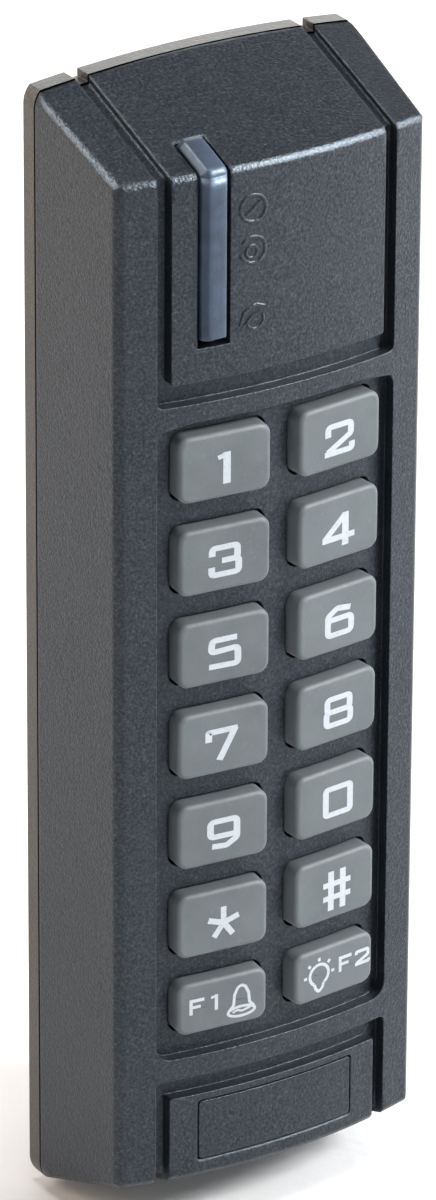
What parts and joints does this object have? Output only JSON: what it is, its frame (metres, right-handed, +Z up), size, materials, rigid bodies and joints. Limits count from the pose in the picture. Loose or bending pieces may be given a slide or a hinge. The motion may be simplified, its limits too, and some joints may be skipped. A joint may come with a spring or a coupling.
{
  "type": "rfid card reader with keypad",
  "caption": "Narrow wall-mounted proximity card reader with a crowned dark housing, two-column rubber keypad, frosted light guide and wall base plate.",
  "frame": {"origin": "middle of the base plate's wall face", "axes": "+Z up along the housing, the front with the keys faces -Y, the wall face is at y = 0 with its outward normal +Y, +X is right as seen from the front"},
  "size_m": [0.046, 0.0236, 0.1526],
  "materials": {
    "housing_plastic": "dark blue-grey moulded plastic with a fine spark-eroded grain",
    "black_plastic": "moulded plastic, fine grain",
    "black_rubber": "matte",
    "frosted_guide": "frosted translucent bar",
    "key_rubber": "matte grey silicone",
    "circuit_board": "solder mask",
    "copper": "enamelled copper wire",
    "led_white": "moulded package",
    "chip_black": "moulded package",
    "bright_metal": "nickel-plated",
    "ceramic_tan": "ceramic chip parts",
    "terminal_green": "moulded",
    "white_plastic": "moulded",
    "carbon": "conductive carbon rubber"
  },
  "bodies": {
    "housing": {"base_plate": "black_plastic", "cable_grommet": "black_rubber", "front_cover": "housing_plastic", "light_guide": "frosted_guide", "name_badge": "housing_plastic", "keypad_mat": "key_rubber", "main_board": "circuit_board", "antenna_coil": "copper", "status_leds": "led_white", "backlight_leds": "led_white", "microcontroller": "chip_black", "reader_chip": "chip_black", "line_driver": "chip_black", "crystal": "bright_metal", "voltage_regulator": "chip_black", "smoothing_capacitor": "bright_metal", "small_parts": "ceramic_tan", "buzzer": "chip_black", "terminal_block": "terminal_green", "terminal_screws": "bright_metal", "tamper_switch": "chip_black", "rear_cover": "black_plastic", "rear_seal": "black_rubber", "board_screws": "bright_metal", "rear_cover_screws": "bright_metal", "lock_screw": "bright_metal"},
    "key_1_body": {"key_1": "key_rubber", "carbon_pill_1": "carbon"},
    "key_2_body": {"key_2": "key_rubber", "carbon_pill_2": "carbon"},
    "key_3_body": {"key_3": "key_rubber", "carbon_pill_3": "carbon"},
    "key_4_body": {"key_4": "key_rubber", "carbon_pill_4": "carbon"},
    "key_5_body": {"key_5": "key_rubber", "carbon_pill_5": "carbon"},
    "key_6_body": {"key_6": "key_rubber", "carbon_pill_6": "carbon"},
    "key_7_body": {"key_7": "key_rubber", "carbon_pill_7": "carbon"},
    "key_8_body": {"key_8": "key_rubber", "carbon_pill_8": "carbon"},
    "key_9_body": {"key_9": "key_rubber", "carbon_pill_9": "carbon"},
    "key_0_body": {"key_0": "key_rubber", "carbon_pill_0": "carbon"},
    "key_star_body": {"key_star": "key_rubber", "carbon_pill_star": "carbon"},
    "key_hash_body": {"key_hash": "key_rubber", "carbon_pill_hash": "carbon"},
    "key_f1_body": {"key_f1": "key_rubber", "carbon_pill_f1": "carbon"},
    "key_f2_body": {"key_f2": "key_rubber", "carbon_pill_f2": "carbon"},
    "tamper_plunger_body": {"tamper_plunger": "white_plastic"}
  },
  "joints": [
    {"name": "key_1_press", "type": "slide", "parent": "housing", "child": "key_1_body", "axis": [0.0971, 0.9953, 0], "range_m": [0, 0.001], "stiffness_N_per_m": 900},
    {"name": "key_2_press", "type": "slide", "parent": "housing", "child": "key_2_body", "axis": [-0.0971, 0.9953, 0], "range_m": [0, 0.001], "stiffness_N_per_m": 900},
    {"name": "key_3_press", "type": "slide", "parent": "housing", "child": "key_3_body", "axis": [0.0971, 0.9953, 0], "range_m": [0, 0.001], "stiffness_N_per_m": 900},
    {"name": "key_4_press", "type": "slide", "parent": "housing", "child": "key_4_body", "axis": [-0.0971, 0.9953, 0], "range_m": [0, 0.001], "stiffness_N_per_m": 900},
    {"name": "key_5_press", "type": "slide", "parent": "housing", "child": "key_5_body", "axis": [0.0971, 0.9953, 0], "range_m": [0, 0.001], "stiffness_N_per_m": 900},
    {"name": "key_6_press", "type": "slide", "parent": "housing", "child": "key_6_body", "axis": [-0.0971, 0.9953, 0], "range_m": [0, 0.001], "stiffness_N_per_m": 900},
    {"name": "key_7_press", "type": "slide", "parent": "housing", "child": "key_7_body", "axis": [0.0971, 0.9953, 0], "range_m": [0, 0.001], "stiffness_N_per_m": 900},
    {"name": "key_8_press", "type": "slide", "parent": "housing", "child": "key_8_body", "axis": [-0.0971, 0.9953, 0], "range_m": [0, 0.001], "stiffness_N_per_m": 900},
    {"name": "key_9_press", "type": "slide", "parent": "housing", "child": "key_9_body", "axis": [0.0971, 0.9953, 0], "range_m": [0, 0.001], "stiffness_N_per_m": 900},
    {"name": "key_0_press", "type": "slide", "parent": "housing", "child": "key_0_body", "axis": [-0.0971, 0.9953, 0], "range_m": [0, 0.001], "stiffness_N_per_m": 900},
    {"name": "key_star_press", "type": "slide", "parent": "housing", "child": "key_star_body", "axis": [0.0971, 0.9953, 0], "range_m": [0, 0.001], "stiffness_N_per_m": 900},
    {"name": "key_hash_press", "type": "slide", "parent": "housing", "child": "key_hash_body", "axis": [-0.0971, 0.9953, 0], "range_m": [0, 0.001], "stiffness_N_per_m": 900},
    {"name": "key_f1_press", "type": "slide", "parent": "housing", "child": "key_f1_body", "axis": [0.0971, 0.9953, 0], "range_m": [0, 0.001], "stiffness_N_per_m": 900},
    {"name": "key_f2_press", "type": "slide", "parent": "housing", "child": "key_f2_body", "axis": [-0.0971, 0.9953, 0], "range_m": [0, 0.001], "stiffness_N_per_m": 900},
    {"name": "tamper_slide", "type": "slide", "parent": "housing", "child": "tamper_plunger_body", "axis": [0, -1, 0], "range_m": [0, 0.0004], "stiffness_N_per_m": 600}
  ]
}
